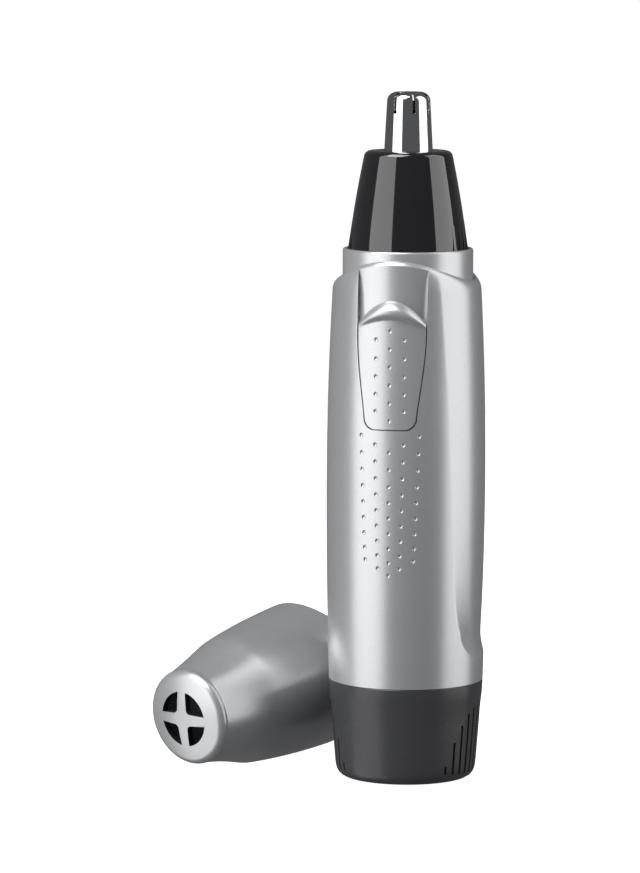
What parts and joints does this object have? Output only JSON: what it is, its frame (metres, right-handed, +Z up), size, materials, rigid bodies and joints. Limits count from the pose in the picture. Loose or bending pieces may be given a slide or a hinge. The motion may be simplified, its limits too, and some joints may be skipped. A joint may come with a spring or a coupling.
{
  "type": "nose hair trimmer",
  "caption": "Slim battery nose and ear hair trimmer with a slotted shear tube, thumb switch, twist-off head and base, and a vented protective cap lying beside it.",
  "frame": {"origin": "centre of the flat underside of the base cover, on the trimmer's long axis", "axes": "+Z up the trimmer's long axis to its cutting tip, -Y out of the face with the thumb switch, +X to the right seen from the front"},
  "size_m": [0.0644, 0.045, 0.1324],
  "materials": {
    "silver_paint": "satin silver metallic paint over moulded plastic",
    "dark_plastic": "satin dark grey",
    "gloss_black": "gloss black",
    "chrome": "polished",
    "steel": "plain rolled",
    "brass": "plain stamped",
    "copper": "enamelled winding wire and carbon copper",
    "black_plastic": "moulded",
    "white_plastic": "moulded natural nylon",
    "ferrite": "sintered",
    "rubber": "moulded",
    "cell_sleeve": "printed film over a steel can"
  },
  "bodies": {
    "body": {"housing": "silver_paint", "neck_collar": "silver_paint", "chassis": "white_plastic", "chassis_screw_left": "steel", "chassis_screw_right": "steel", "battery_cell": "cell_sleeve", "positive_contact": "brass", "motor_contact": "brass", "negative_strip": "steel", "motor_can": "steel", "motor_end_bell": "white_plastic", "motor_bush": "brass", "magnet_left": "ferrite", "magnet_right": "ferrite", "brush_left": "copper", "brush_right": "copper", "hair_seal": "rubber"},
    "switch": {"switch_slider": "silver_paint", "switch_carrier": "black_plastic", "moving_contact": "brass"},
    "rotor": {"motor_shaft": "steel", "commutator": "copper", "armature_core": "steel", "armature_coil_1": "copper", "armature_coil_2": "copper", "armature_coil_3": "copper", "drive_coupling": "black_plastic", "cutter_shaft": "steel", "cutter_blade": "steel", "cutter_spring": "steel"},
    "head": {"head_cover": "gloss_black", "shear_tube": "chrome", "head_plug": "black_plastic"},
    "base": {"base_cover": "dark_plastic", "base_contact": "steel", "battery_spring": "steel", "base_seal": "rubber"},
    "cap": {"protective_cap": "silver_paint"}
  },
  "joints": [
    {"name": "switch_slide", "type": "slide", "parent": "body", "child": "switch", "axis": [0, 0, 1], "range_m": [0, 0.0055]},
    {"name": "motor_spin", "type": "hinge", "parent": "body", "child": "rotor", "pos_m": [0, 0, 0.067], "axis": [0, 0, 1], "continuous": true},
    {"name": "head_twist", "type": "hinge", "parent": "body", "child": "head", "pos_m": [0, 0, 0.1025], "axis": [0, 0, 1], "range_deg": [0, 45]},
    {"name": "base_twist", "type": "hinge", "parent": "body", "child": "base", "pos_m": [0, 0, 0.019], "axis": [0, 0, -1], "range_deg": [0, 45]},
    {"name": "cap_lift", "type": "slide", "parent": "body", "child": "cap", "axis": [0, 0, 1], "range_m": [0, 0.15]}
  ]
}
